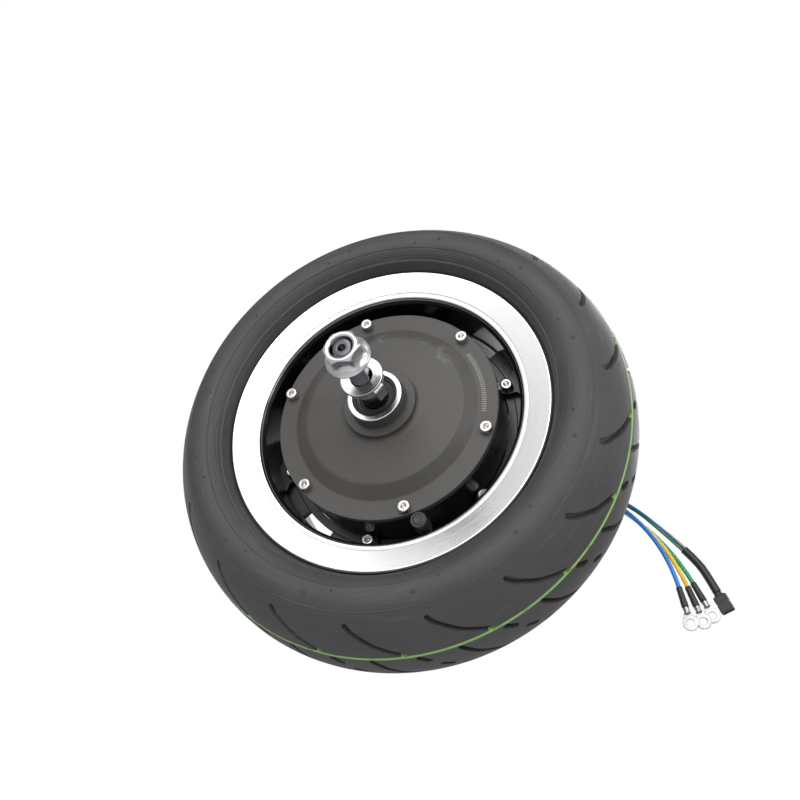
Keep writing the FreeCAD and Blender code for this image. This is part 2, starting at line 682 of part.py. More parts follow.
def cable_pieces():
    pieces = {
        "cable_jacket": cord("cable_jacket", JACKET_ROUTE, CABLE_R),
        "cable_boot": make_boot(),
        "sensor_sleeve": cord("sensor_sleeve", SLEEVE_ROUTE, SLEEVE_R),
        "sensor_plug": make_sensor_plug(),
    }
    for colour, plan in PHASES.items():
        route = phase_route(*plan)
        pieces["phase_wire_" + colour] = cord("phase_wire_" + colour, route, PHASE_R)
        pieces["heat_shrink_" + colour] = make_heat_shrink(route)
        pieces["ring_lug_" + colour] = make_ring_lug(route)
    for colour, plan in HALLS.items():
        pieces["hall_wire_" + colour] = cord("hall_wire_" + colour, hall_route(*plan), HALL_R)
    return pieces


def main():
    os.makedirs("parts", exist_ok=True)
    pieces = {}
    pieces.update(fixed_pieces())
    pieces.update(turning_pieces())
    pieces.update(cable_pieces())
    for name, shape in pieces.items():
        if not shape.isValid():
            print("not valid:", name)
        shape.exportStep("parts/" + name + ".step")
    print(len(pieces), "nodes")


main()
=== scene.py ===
"""Hub motor wheel, seen from its front nut. The frame is the CAD's: axle along Y, front at -Y, +Z up."""
import bpy
import bmesh
import math
from mathutils import Matrix, Vector


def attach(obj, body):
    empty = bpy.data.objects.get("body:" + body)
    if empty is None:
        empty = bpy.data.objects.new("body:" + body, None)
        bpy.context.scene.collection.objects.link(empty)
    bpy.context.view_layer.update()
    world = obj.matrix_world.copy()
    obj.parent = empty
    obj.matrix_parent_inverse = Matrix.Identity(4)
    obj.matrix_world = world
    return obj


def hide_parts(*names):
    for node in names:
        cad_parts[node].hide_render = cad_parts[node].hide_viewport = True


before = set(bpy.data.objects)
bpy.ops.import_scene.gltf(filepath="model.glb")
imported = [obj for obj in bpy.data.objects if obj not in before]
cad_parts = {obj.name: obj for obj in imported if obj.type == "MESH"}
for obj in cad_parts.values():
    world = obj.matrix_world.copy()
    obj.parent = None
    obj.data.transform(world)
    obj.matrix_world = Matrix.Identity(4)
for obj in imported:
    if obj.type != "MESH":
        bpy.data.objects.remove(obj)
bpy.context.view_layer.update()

MM = 0.001
FRONT = -1
REAR = 1

# Sizes of the wheel in millimetres and degrees, as in the CAD. Angles run from +X toward +Z.
SCREWS = 6
SCREW_STEP = 360 / SCREWS
COVER_SCREW_R = 62.0
COVER_SCREW_ANGLE = 101.7
COVER_FACE = 31.5          # face of each cover's screw ring, from the centre plane
WEB_INNER_R = 66.15        # the web's inner edge, just clear of the motor
RIM_SCREW_R = 69.8
RIM_SCREW_ANGLE = 16.5
LUG_FRONT = -6.2           # the rim's screw pads, along Y
LUG_BACK = 1.9
WEB_FRONT = -2.0           # the web behind the pads, along Y
WEB_BACK = 1.8
WINDOW_INNER = 71.2        # six curved windows through the web
WINDOW_OUTER = 76.4
WINDOW_HALF_ANGLE = 8.5
BARREL_R = 77.3            # inside of the rim's barrel
SEAT_R = 82.6              # the tyre's bead seat
VALVE_ANGLE = -73.5
VALVE_Y = -12.5
VALVE_R = 71.6
CABLE_Y = 58.0
LINE_Y = 17.0              # the coloured line's distance in front of the centre plane
NUT_SEAT = 92.5            # pieces on the axle's ends, outward from the centre plane
NUT_TOP = 104.5
PLAIN_WASHER_END = 73.1
TAB_WASHER_END = 71.3
SPACER_END = 69.3
SPACER_START = 64.0
AXLE_END = 103.0
THREAD_R = 6.0
THREAD_PITCH = 1.5
THREAD_DEPTH = 0.75
FLAT_HALF = 5.0            # half the width between the axle's two flats
HEX_ACROSS = 18.0
SHRINK_LENGTH = 12.0

# Stage: camera in millimetres of focal length, degrees and metres, and the room's light.
SENSOR = 36.0
FOCAL_LENGTH = 38.76
CAMERA_TURN = 17.87        # to the right of the axle's direction
CAMERA_RISE = -29.0        # below the axle, looking up
CAMERA_ROLL = 0.88
CAMERA_PLACE = (0.1419, -0.4447, -0.2343)
FLOOR_COLOR = (0.62, 0.62, 0.62)
FLOOR_SIZE = 40.0
FLOOR_DROP = -0.9
GLOW = 0.90                # light in front of the wheel, at and above its height
ROOM_LOW = 0.22            # the rest of the room, from its foot to its top
ROOM_HIGH = 0.36


# ---- camera -------------------------------------------------------------------------------
def make_camera():
    data = bpy.data.cameras.new("camera")
    data.sensor_width = SENSOR
    data.lens = FOCAL_LENGTH
    camera = bpy.data.objects.new("camera", data)
    bpy.context.scene.collection.objects.link(camera)
    turn, rise, roll = (math.radians(angle) for angle in (CAMERA_TURN, CAMERA_RISE, CAMERA_ROLL))
    back = Vector((math.sin(turn) * math.cos(rise), -math.cos(turn) * math.cos(rise), math.sin(rise)))
    level = Vector((math.cos(turn), math.sin(turn), 0))
    upright = back.cross(level)
    right = level * math.cos(roll) + upright * math.sin(roll)
    up = back.cross(right)
    matrix = Matrix((right, up, back)).transposed().to_4x4()
    matrix.translation = Vector(CAMERA_PLACE)
    camera.matrix_world = matrix
    bpy.context.scene.camera = camera


# ---- material helpers ---------------------------------------------------------------------
class Nodes:
    """A material's node tree with short ways to add and join nodes."""

    def __init__(self, name, color, rough, metal=0.0, coat=0.0):
        self.material = bpy.data.materials.new(name)
        self.material.use_nodes = True
        self.tree = self.material.node_tree
        self.shader = self.tree.nodes["Principled BSDF"]
        self.set("Base Color", (*color, 1.0))
        self.set("Roughness", rough)
        self.set("Metallic", metal)
        self.set("Coat Weight", coat)
        self.place = self.add("ShaderNodeTexCoord").outputs["Object"]

    def set(self, socket, value):
        self.shader.inputs[socket].default_value = value

    def add(self, kind, **values):
        node = self.tree.nodes.new(kind)
        for key, value in values.items():
            setattr(node, key, value)
        return node

    def join(self, source, target):
        self.tree.links.new(source, target)

    def feed(self, sockets, values):
        """Gives each socket its number, or joins it to another node's socket."""
        for socket, value in zip(sockets, values):
            if isinstance(value, (int, float)):
                socket.default_value = value
            else:
                self.join(value, socket)

    def math(self, operation, first, second=0.0):
        node = self.add("ShaderNodeMath", operation=operation)
        self.feed(node.inputs, (first, second))
        return node.outputs[0]

    def noise(self, scale, detail=3.0, rough=0.5, place=None):
        """Noise from 0 to 1; scale is in cells per metre where no other place is given."""
        node = self.add("ShaderNodeTexNoise")
        node.inputs["Scale"].default_value = scale
        node.inputs["Detail"].default_value = detail
        node.inputs["Roughness"].default_value = rough
        self.join(place or self.place, node.inputs["Vector"])
        return node.outputs["Fac"]

    def spread(self, value, low, high, start=0.0, end=1.0):
        """Remaps value between low and high, with its ends held."""
        node = self.add("ShaderNodeMapRange")
        self.join(value, node.inputs["Value"])
        ends = (("From Min", low), ("From Max", high), ("To Min", start), ("To Max", end))
        for socket, number in ends:
            node.inputs[socket].default_value = number
        return node.outputs["Result"]

    def blend(self, factor, first, second):
        """A colour between two colours or colour sockets."""
        node = self.add("ShaderNodeMix", data_type="RGBA")
        self.join(factor, node.inputs["Factor"])
        colour_inputs = [socket for socket in node.inputs if socket.type == "RGBA"]
        for socket, value in zip(colour_inputs, (first, second)):
            if isinstance(value, tuple):
                socket.default_value = (*value, 1.0)
            else:
                self.join(value, socket)
        return [socket for socket in node.outputs if socket.type == "RGBA"][0]

    def bump(self, height, distance, strength=1.0):
        node = self.add("ShaderNodeBump")
        node.inputs["Strength"].default_value = strength
        node.inputs["Distance"].default_value = distance
        self.join(height, node.inputs["Height"])
        self.join(node.outputs["Normal"], self.shader.inputs["Normal"])

    def colour(self, socket):
        self.join(socket, self.shader.inputs["Base Color"])

    def rough(self, socket):
        self.join(socket, self.shader.inputs["Roughness"])

    def axle_polar(self):
        """Radius from the axle, distance along it and the angle round it, in metres and turns."""
        parts = self.add("ShaderNodeSeparateXYZ")
        self.join(self.place, parts.inputs[0])
        x, y, z = parts.outputs
        squares = self.math("ADD", self.math("MULTIPLY", x, x), self.math("MULTIPLY", z, z))
        angle = self.math("DIVIDE", self.math("ARCTAN2", z, x), 2 * math.pi)
        return self.math("SQRT", squares), y, angle

    def vector(self, x, y, z):
        node = self.add("ShaderNodeCombineXYZ")
        self.feed(node.inputs, (x, y, z))
        return node.outputs[0]


def between(nodes, value, low, high, soft):
    """1 where value is between low and high, fading over soft."""
    rise = nodes.spread(value, low - soft, low)
    fall = nodes.spread(value, high, high + soft, 1.0, 0.0)
    return nodes.math("MULTIPLY", rise, fall)


def rubber_tyre():
    """Dusty rubber, a worn coloured line round the tread and fine rings near the rim."""
    side_end, tread_start, crown = 0.108, 0.124, 0.1342
    rings_start, rings_end, ring_pitch = 0.1012, 0.1052, 0.0011
    line_half = 0.75
    dust, line_green = (0.16, 0.155, 0.15), (0.27, 0.50, 0.13)
    nodes = Nodes("tyre_rubber", (0.05, 0.05, 0.055), 0.6)
    radius, along, angle = nodes.axle_polar()
    blotch = nodes.noise(14.0, 4.0, 0.6)
    grain = nodes.noise(900.0, 2.0, 0.6)
    tone = nodes.blend(nodes.spread(blotch, 0.35, 0.7), (0.038, 0.038, 0.041), (0.062, 0.062, 0.067))
    tread = nodes.spread(radius, side_end, tread_start)
    tread_tone = nodes.blend(nodes.spread(blotch, 0.3, 0.7), (0.040, 0.040, 0.041), (0.062, 0.062, 0.062))
    base = nodes.blend(tread, tone, tread_tone)
    # dust rubbed into fine scratches that run round the wheel
    streak_place = nodes.vector(nodes.math("MULTIPLY", radius, 60.0), nodes.math("MULTIPLY", angle, 3.0),
                                nodes.math("MULTIPLY", along, 60.0))
    streak = nodes.noise(6.0, 5.0, 0.7, streak_place)
    dusty = nodes.blend(nodes.spread(streak, 0.55, 0.8, 0.0, 0.35), base, dust)
    line = between(nodes, along, -(LINE_Y + line_half) * MM, -(LINE_Y - line_half) * MM, 0.0003)
    outside = nodes.spread(radius, crown, crown + 0.0006)
    line = nodes.math("MULTIPLY", line, outside)
    wear = nodes.spread(nodes.noise(160.0, 3.0), 0.3, 0.45, 0.55, 1.0)
    nodes.colour(nodes.blend(nodes.math("MULTIPLY", line, wear), dusty, line_green))
    nodes.rough(nodes.spread(blotch, 0.3, 0.75, 0.48, 0.68))
    rings = nodes.math("SINE", nodes.math("MULTIPLY", radius, 2 * math.pi / ring_pitch))
    ring_zone = between(nodes, radius, rings_start, rings_end, 0.0004)
    height = nodes.math("ADD", nodes.math("MULTIPLY", rings, nodes.math("MULTIPLY", ring_zone, 0.35)),
                        nodes.math("MULTIPLY", grain, 0.5))
    nodes.bump(height, 0.00025, 0.6)
    return nodes.material


def rim_metal():
    """Machined silver lips and a gloss black barrel, divided by the place on the rim."""
    lip_radius, lip_along, black_rough = 0.0790, 0.0276, 0.22
    nodes = Nodes("rim_lip_and_barrel", (0.8, 0.8, 0.8), 0.2, 1.0)
    radius, along, angle = nodes.axle_polar()
    half = nodes.math("ABSOLUTE", along)
    lip = nodes.math("MULTIPLY", nodes.spread(radius, lip_radius, lip_radius + 0.0003),
                     nodes.spread(half, lip_along, lip_along + 0.0004))
    turned = nodes.noise(5.0, 4.0, 0.7, nodes.vector(nodes.math("MULTIPLY", radius, 900.0),
                                                    nodes.math("MULTIPLY", angle, 2.0), 0.0))
    silver = nodes.blend(nodes.spread(turned, 0.3, 0.7), (0.80, 0.80, 0.80), (0.90, 0.90, 0.91))
    black = nodes.blend(nodes.noise(40.0, 3.0), (0.004, 0.004, 0.005), (0.010, 0.010, 0.011))
    nodes.colour(nodes.blend(lip, black, silver))
    nodes.set("Specular IOR Level", 0.12)
    nodes.join(lip, nodes.shader.inputs["Metallic"])
    lip_rough = nodes.spread(turned, 0.2, 0.8, 0.16, 0.30)
    nodes.rough(nodes.math("ADD", nodes.math("MULTIPLY", lip, lip_rough),
                           nodes.math("MULTIPLY", nodes.math("SUBTRACT", 1.0, lip), black_rough)))
    nodes.bump(nodes.math("MULTIPLY", turned, lip), 0.00004, 0.5)
    return nodes.material


def cover_paint():
    """Matte dark paint with scuffs on the raised disc's edge and a band of small etched ticks."""
    disc_edge, ramp_middle = 0.0435, 0.0500
    tick_inner, tick_outer, ticks_per_turn = 0.0568, 0.0592, 260.0
    collar_start, collar_bore, front_face = 0.0510, 0.0128, -0.0310
    # parts of the turn that carry scuffs and ticks
    scuff_start, scuff_end, tick_start, tick_end = 0.10, 0.27, -0.022, 0.088
    scuffed = (0.22, 0.215, 0.21)
    scratched = (0.20, 0.195, 0.19)
    etch = (0.45, 0.44, 0.42)
    bare_metal = (0.82, 0.82, 0.80)
    nodes = Nodes("cover_paint", (0.05, 0.048, 0.045), 0.55)
    radius, along, angle = nodes.axle_polar()
    half = nodes.math("ABSOLUTE", along)
    speck = nodes.noise(700.0, 2.0, 0.6)
    cloud = nodes.noise(22.0, 4.0, 0.6)
    base = nodes.blend(nodes.spread(cloud, 0.35, 0.7), (0.052, 0.049, 0.046), (0.078, 0.074, 0.070))
    scuff_zone = between(nodes, radius, disc_edge, ramp_middle, 0.0015)
    scuff = nodes.math("MULTIPLY", scuff_zone, nodes.spread(nodes.noise(95.0, 5.0, 0.75), 0.52, 0.66))
    scuff = nodes.math("MULTIPLY", scuff, between(nodes, angle, scuff_start, scuff_end, 0.03))
    base = nodes.blend(nodes.math("MULTIPLY", scuff, 0.55), base, scuffed)
    scratch_place = nodes.vector(nodes.math("MULTIPLY", radius, 300.0),
                                 nodes.math("MULTIPLY", angle, 26.0), 1.0)
    scratch = nodes.spread(nodes.noise(3.0, 4.0, 0.8, scratch_place), 0.70, 0.74, 0.0, 0.3)
    base = nodes.blend(scratch, base, scratched)
    ticks = nodes.math("FRACT", nodes.math("MULTIPLY", angle, ticks_per_turn))
    tick = nodes.math("MULTIPLY", between(nodes, ticks, 0.35, 0.62, 0.08),
                      between(nodes, radius, tick_inner, tick_outer, 0.0002))
    tick = nodes.math("MULTIPLY", tick, between(nodes, angle, tick_start, tick_end, 0.001))
    front_only = nodes.spread(along, front_face, front_face + 0.0002, 1.0, 0.0)
    etched = nodes.math("MULTIPLY", tick, front_only)
    base = nodes.blend(nodes.math("MULTIPLY", etched, 0.6), base, etch)
    bare = nodes.math("MULTIPLY", nodes.spread(half, collar_start, collar_start + 0.0002),
                      nodes.spread(radius, collar_bore, collar_bore + 0.0001))
    nodes.colour(nodes.blend(bare, base, bare_metal))
    nodes.join(bare, nodes.shader.inputs["Metallic"])
    nodes.rough(nodes.math("SUBTRACT", nodes.spread(cloud, 0.3, 0.7, 0.42, 0.56),
                           nodes.math("MULTIPLY", bare, 0.25)))
    nodes.bump(speck, 0.00008, 0.5)
    return nodes.material


def metal(name, color, rough, scale=400.0, brushed=0.3):
    """Plated or turned metal with fine marks round the axle and small stains."""
    nodes = Nodes(name, color, rough, 1.0)
    radius, along, angle = nodes.axle_polar()
    place = nodes.vector(nodes.math("MULTIPLY", radius, scale), nodes.math("MULTIPLY", along, scale),
                         nodes.math("MULTIPLY", angle, 4.0))
    lines = nodes.noise(3.0, 4.0, 0.7, place)
    stain = nodes.noise(130.0, 3.0, 0.6)
    darker = tuple(value * 0.72 for value in color)
    nodes.colour(nodes.blend(nodes.spread(stain, 0.4, 0.75), color, darker))
    nodes.rough(nodes.spread(lines, 0.25, 0.75, max(rough - 0.08, 0.05), rough + 0.1))
    nodes.bump(lines, 0.00003, brushed)
    return nodes.material


def plastic(name, color, rough, grain=900.0, coat=0.0):
    """Moulded or painted surface with grain, and a tone that wanders a little."""
    nodes = Nodes(name, color, rough, 0.0, coat)
    cloud = nodes.noise(60.0, 4.0, 0.6)
    light = tuple(min(1.0, value * 1.25 + 0.004) for value in color)
    dark = tuple(value * 0.8 for value in color)
    nodes.colour(nodes.blend(nodes.spread(cloud, 0.3, 0.7), dark, light))
    nodes.rough(nodes.spread(cloud, 0.3, 0.7, rough - 0.06, rough + 0.08))
    nodes.bump(nodes.noise(grain, 2.0, 0.6), 0.00006, 0.5)
    return nodes.material


def laminated():
    """Thin steel sheets stacked along the axle."""
    sheet = 0.0005
    nodes = Nodes("laminations", (0.4, 0.4, 0.42), 0.4, 0.9)
    _, along, _ = nodes.axle_polar()
    sheets = nodes.math("SINE", nodes.math("MULTIPLY", along, 2 * math.pi / sheet))
    nodes.colour(nodes.blend(nodes.spread(sheets, -1.0, 1.0), (0.22, 0.22, 0.23), (0.5, 0.5, 0.52)))
    nodes.bump(sheets, 0.00005, 0.6)
    return nodes.material


TYRE = rubber_tyre()
RIM = rim_metal()
COVER = cover_paint()
ZINC = metal("bright_zinc", (0.80, 0.81, 0.83), 0.20)
STEEL = metal("turned_steel", (0.14, 0.14, 0.15), 0.22)
STAINLESS = metal("stainless_screw", (0.74, 0.72, 0.69), 0.26)
BEARING = metal("bearing_steel", (0.66, 0.66, 0.68), 0.18)
TIN = metal("tinned_copper", (0.42, 0.42, 0.41), 0.32)
ALLOY = metal("cast_alloy", (0.60, 0.61, 0.63), 0.42, 120.0, 0.5)
COPPER = plastic("enamelled_copper", (0.50, 0.20, 0.07), 0.32, 500.0, 0.4)
GLOSS_BLACK = plastic("gloss_black_paint", (0.008, 0.008, 0.009), 0.30, 350.0, 0.1)
RUBBER = plastic("black_rubber", (0.022, 0.022, 0.023), 0.5)
BLACK_PLASTIC = plastic("black_plastic", (0.020, 0.020, 0.021), 0.38)
JACKET = plastic("cable_jacket", (0.018, 0.018, 0.018), 0.42)
BOARD = plastic("circuit_board", (0.02, 0.14, 0.05), 0.35, 300.0, 0.3)
MAGNET = metal("nickel_magnet", (0.60, 0.60, 0.61), 0.22)
WIRE = {
    "blue": plastic("wire_blue", (0.022, 0.19, 0.62), 0.34),
    "yellow": plastic("wire_yellow", (0.78, 0.50, 0.03), 0.34),
    "green": plastic("wire_green", (0.010, 0.30, 0.13), 0.34),
    "red": plastic("wire_red", (0.55, 0.025, 0.015), 0.34),
    "black": plastic("wire_black", (0.015, 0.015, 0.015), 0.34),
}


# ---- mesh helpers -------------------------------------------------------------------------
def new_object(name, mesh, material, body, replaced=()):
    thing = bpy.data.objects.new(name, mesh)
    bpy.context.scene.collection.objects.link(thing)
    thing.data.materials.append(material)
    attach(thing, body)
    if replaced:
        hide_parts(*replaced)
    return thing


def finish_mesh(name, bm, smooth=True):
    bmesh.ops.recalc_face_normals(bm, faces=bm.faces)
    mesh = bpy.data.meshes.new(name)
    bm.to_mesh(mesh)
    bm.free()
    if smooth:
        mesh.shade_smooth()
    else:
        mesh.shade_flat()
    return mesh


def even_normals(thing):
    """Keeps wide faces flat beside their rounded edges."""
    modifier = thing.modifiers.new("even_normals", "WEIGHTED_NORMAL")
    modifier.weight = 80
    modifier.keep_sharp = True


def rounded(outline, radius):
    """The closed outline with each corner rounded, as far as its edges allow."""
    steps = 3
    result = []
    count = len(outline)
    for index, corner in enumerate(outline):
        corner = Vector(corner)
        before = Vector(outline[index - 1]) - corner
        after = Vector(outline[(index + 1) % count]) - corner
        trim = min(radius, 0.42 * before.length, 0.42 * after.length)
        start, end = corner + before.normalized() * trim, corner + after.normalized() * trim
        for step in range(steps + 1):
            part = step / steps
            result.append(start.lerp(corner, part).lerp(corner.lerp(end, part), part))
    return result


def loft(bm, rings, caps=True):
    """Skins equal rings of points one after another, and closes the two ends."""
    rows = [[bm.verts.new(point) for point in points] for points in rings]
    count = len(rows[0])
    for first, second in zip(rows, rows[1:]):
        for index in range(count):
            after = (index + 1) % count
            bm.faces.new((first[index], first[after], second[after], second[index]))
    if caps:
        bm.faces.new(rows[0][::-1])
        bm.faces.new(rows[-1])
    return rows


def lathe(bm, outline, segments, side=REAR):
    """A closed (radius, distance) outline in millimetres, turned about the axle."""
    rows = []
    for step in range(segments):
        angle = 2 * math.pi * step / segments
        cosine, sine = math.cos(angle), math.sin(angle)
        rows.append([bm.verts.new((radius * cosine * MM, side * along * MM, radius * sine * MM))
                     for radius, along in outline])
    count = len(outline)
    for step in range(segments):
        this, other = rows[step], rows[(step + 1) % segments]
        for index in range(count):
            after = (index + 1) % count
            bm.faces.new((this[index], this[after], other[after], other[index]))


def turned_piece(name, outline, material, body, replaced=(), side=REAR, round_to=0.4, segments=160):
    bm = bmesh.new()
    lathe(bm, rounded(outline, round_to), segments, side)
    thing = new_object(name, finish_mesh(name, bm), material, body, replaced)
    even_normals(thing)
    return thing


def hex_reach(across, angle):
    """Distance from a hexagon's centre to its side, at an angle."""
    sector = math.radians(60)
    return across / 2 / math.cos((angle % sector) - sector / 2)


def circle(reach, height, count=72):
    """Points round +Z at a height; reach is a number or a function of the angle."""
    points = []
    for index in range(count):
        angle = 2 * math.pi * index / count
        radius = reach(angle) if callable(reach) else reach
        points.append(Vector((radius * math.cos(angle), radius * math.sin(angle), height)))
    return points


def placed(points, matrix):
    return [matrix @ (point * MM) for point in points]


def along_axle(side, radius=0.0, angle=0.0):
    """Matrix that stands a +Z shape on the axle's direction, off the axle by radius at angle."""
    stand = Matrix.Rotation(math.radians(-90 * side), 4, "X")
    move = Matrix.Translation((radius * MM, 0, 0))
    return Matrix.Rotation(-math.radians(angle), 4, "Y") @ move @ stand


def toward(start, way):
    """Matrix that stands a +Z shape at a point in millimetres, along a direction."""
    turn = Vector((0, 0, 1)).rotation_difference(Vector(way)).to_matrix().to_4x4()
    return Matrix.Translation(Vector(start) * MM) @ turn


# ---- cords: routes and sizes are the CAD's, in metres --------------------------------------
JACKET_ROUTE = [(0.036, 0.058, 0), (0.054, 0.058, 0), (0.078, 0.058, -0.005), (0.094, 0.0584, -0.016)]
SLEEVE_ROUTE = [(0.1535, 0.0650, -0.0645), (0.1595, 0.0652, -0.0720), (0.1640, 0.0650, -0.0810),
                (0.1677, 0.0646, -0.0910)]
BOOT_LENGTH = 0.016
BOOT_RUN = 0.022           # each wire's straight stretch after the boot
SLEEVE_RUN = 0.015         # and each thin wire's before the sleeve
PHASE_ROW = -0.0016        # the two rows of wires on the boot's face
HALL_ROW = 0.0019
HALL_CIRCLE = 0.0014       # the thin wires' circle on the sleeve's face
JACKET_RADIUS = 0.0036
PHASE_RADIUS = 0.00125
HALL_RADIUS = 0.00055
SLEEVE_RADIUS = 0.0024
# each phase wire: its place across the boot's face, its last bend and its end
PHASES = {
    "blue": (-0.0029, (0.1440, 0.0545, -0.0700), (0.1473, 0.0540, -0.0895)),
    "yellow": (0.0, (0.1465, 0.0585, -0.0690), (0.1520, 0.0580, -0.0885)),
    "green": (0.0029, (0.1482, 0.0623, -0.0675), (0.1553, 0.0620, -0.0853)),
}
# each thin wire: its place across the boot's face and its angle round the sleeve's face
HALLS = {
    "sense_blue": (-0.0034, 162),
    "sense_green": (-0.0017, -126),
    "sense_yellow": (0.0, 90),
    "black": (0.0017, -54),
    "red": (0.0034, 18),
}


def route_end(route):
    """A route's last point and the direction that it arrives in."""
    end = Vector(route[-1])
    return end, (end - Vector(route[-2])).normalized()


def face_axes(way):
    """Two directions in the face square to a way: across, close to +Y, and upward."""
    across = (Vector((0, 1, 0)) - way * way.y).normalized()
    return across, -across.cross(way).normalized()


def wire_start(place, row):
    """A wire's first two points, straight out of the boot's end face."""
    end, way = route_end(JACKET_ROUTE)
    across, upward = face_axes(way)
    start = end + way * BOOT_LENGTH + across * place + upward * row
    return [tuple(start), tuple(start + way * BOOT_RUN)]


def phase_route(place, last_bend, end):
    return wire_start(place, PHASE_ROW) + [last_bend, end]


def hall_route(place, angle):
    """From the boot's face to a place on the sleeve's face, square to both."""
    mouth = Vector(SLEEVE_ROUTE[0])
    way = (Vector(SLEEVE_ROUTE[1]) - mouth).normalized()
    across, upward = face_axes(way)
    turn = math.radians(angle)
    end = mouth + (across * math.cos(turn) + upward * math.sin(turn)) * HALL_CIRCLE
    return wire_start(place, HALL_ROW) + [tuple(end - way * SLEEVE_RUN), tuple(end)]


def curve_length(curve_object):
    """Length of the curve's own line, read from its unbevelled mesh."""
    bevel = curve_object.data.bevel_depth
    curve_object.data.bevel_depth = 0.0
    mesh = bpy.data.meshes.new_from_object(curve_object)
    curve_object.data.bevel_depth = bevel
    points = [vertex.co for vertex in mesh.vertices]
    length = sum((second - first).length for first, second in zip(points, points[1:]))
    bpy.data.meshes.remove(mesh)
    return length


def cord_piece(name, route, radius, material, pieces):
    curve = bpy.data.curves.new(name, "CURVE")
    curve.dimensions = "3D"
    curve.resolution_u = 16
    curve.bevel_depth = 1.0
    curve.bevel_resolution = 5
    curve.use_fill_caps = True
    spline = curve.splines.new("NURBS")
    spline.points.add(len(route) - 1)
    for point, place in zip(spline.points, route):
        point.co = (*place, 1.0)
        point.radius = radius
    spline.order_u = 3
    spline.use_endpoint_u = True
    thing = new_object(name + "_line", curve, material, "axle_body", (name,))
    curve_length(thing)


def loft_piece(name, sections, material, replaced, matrix):
    """Round sections of (radius, height) millimetres along +Z, put in place by a matrix."""
    bm = bmesh.new()
    loft(bm, [placed(circle(radius, height, 40), matrix) for radius, height in sections])
    thing = new_object(name, finish_mesh(name, bm), material, "axle_body", replaced)
    even_normals(thing)
    return thing


def make_boot():
    """Moulded boot with four soft ribs, where the jacket parts into wires."""
    ribs, pitch, growth = 4, 2.6, 0.12
    length = BOOT_LENGTH / MM
    end, way = route_end(JACKET_ROUTE)
    sections = [(3.9, 0.0), (4.4, 0.3), (4.6, 1.0)]
    for rib in range(ribs):
        start = 1.6 + rib * pitch
        wider = rib * growth
        sections += [(4.55 + wider, start), (4.95 + wider, start + 0.5), (4.95 + wider, start + 1.3),
                     (4.5 + wider, start + 1.8)]
    sections += [(4.95, length - 3.0), (5.1, length - 1.5), (5.0, length - 0.4), (4.6, length)]
    return loft_piece("cable_boot_moulded", sections, RUBBER, ("cable_boot",), toward(end / MM, way))


def make_heat_shrink(colour, route):
    """Shrunk sleeve, a little uneven, over the crimp."""
    end, way = route_end(route)
    sections = [(1.35, 0.0), (1.65, 0.25), (1.75, 1.2), (1.7, 3.0), (1.82, 5.0), (1.8, 6.5),
                (1.92, 8.5), (1.98, 10.5), (1.95, SHRINK_LENGTH - 0.3), (1.7, SHRINK_LENGTH)]
    return loft_piece("heat_shrink_" + colour + "_sleeve", sections, JACKET, ("heat_shrink_" + colour,),
                      toward(end / MM, way))


def make_lug(colour, route):
    """Ring terminal: crimped barrel, flat tongue and a ring with a stud hole."""
    tongue_start, hole_distance, tongue_end = 3.0, 9.0, 6.4
    end, way = route_end(route)
    start = end / MM + way * SHRINK_LENGTH
    bm = bmesh.new()
    upright = toward(start, way)
    barrel = [(1.55, 0.0), (1.85, 0.2), (1.85, 1.2), (1.6, 1.7), (1.6, 2.6), (1.85, 3.1), (1.7, 4.0)]
    loft(bm, [placed(circle(radius, height, 28), upright) for radius, height in barrel])
    hole = start + way * hole_distance
    across = Vector((way.z, 0, -way.x)).normalized()
    facing = Matrix.Translation(hole * MM) @ Matrix.Rotation(math.radians(-90), 4, "X")
    rim_points = [(4.0, -0.5), (4.2, -0.35), (4.2, 0.35), (4.0, 0.5), (2.35, 0.5), (2.15, 0.35),
                  (2.15, -0.35), (2.35, -0.5), (4.0, -0.5)]
    loft(bm, [placed(circle(radius, height, 48), facing) for radius, height in rim_points], False)
    thickness = Vector((0, 0.5, 0))
    near, far = start + way * tongue_start, start + way * tongue_end
    corners = [near + across * 1.85, far + across * 3.2, far - across * 3.2, near - across * 1.85]
    loft(bm, [[(point + lift) * MM for point in corners] for lift in (-thickness, thickness)])
    bmesh.ops.remove_doubles(bm, verts=bm.verts, dist=0.00001)
    thing = new_object("ring_terminal_" + colour, finish_mesh("ring_terminal_" + colour, bm), TIN,
                       "axle_body", ("ring_lug_" + colour,))
    even_normals(thing)
    return thing


def make_plug():
    """Small black connector housing with a groove round its middle and an open end."""
    end, way = route_end(SLEEVE_ROUTE)
    upright = toward(end / MM, way)

    def oblong(width, depth, height, soft):
        points = []
        for sign_x, sign_y, start in ((1, 1, 0), (-1, 1, 90), (-1, -1, 180), (1, -1, 270)):
            for step in range(5):
                angle = math.radians(start + step * 22.5)
                points.append(Vector((sign_x * (width - soft) + soft * math.cos(angle),
                                      sign_y * (depth - soft) + soft * math.sin(angle), height)))
        return placed(points, upright)

    bm = bmesh.new()
    layers = [(1.9, 1.9, 0.0, 1.85), (2.3, 2.3, 0.5, 1.9), (2.5, 2.5, 2.0, 1.6), (3.5, 2.5, 2.6, 0.7),
              (3.8, 2.8, 3.1, 0.6), (3.8, 2.8, 6.0, 0.6), (3.5, 2.55, 6.2, 0.5), (3.5, 2.55, 7.4, 0.5),
              (3.8, 2.8, 7.6, 0.6), (3.8, 2.8, 11.8, 0.6), (3.5, 2.5, 12.3, 0.5), (2.9, 1.9, 12.3, 0.3),
              (2.9, 1.9, 9.5, 0.3)]
    loft(bm, [oblong(*layer) for layer in layers])
    thing = new_object("sensor_plug_housing", finish_mesh("sensor_plug_housing", bm), BLACK_PLASTIC,
                       "axle_body", ("sensor_plug",))
    even_normals(thing)
    return thing


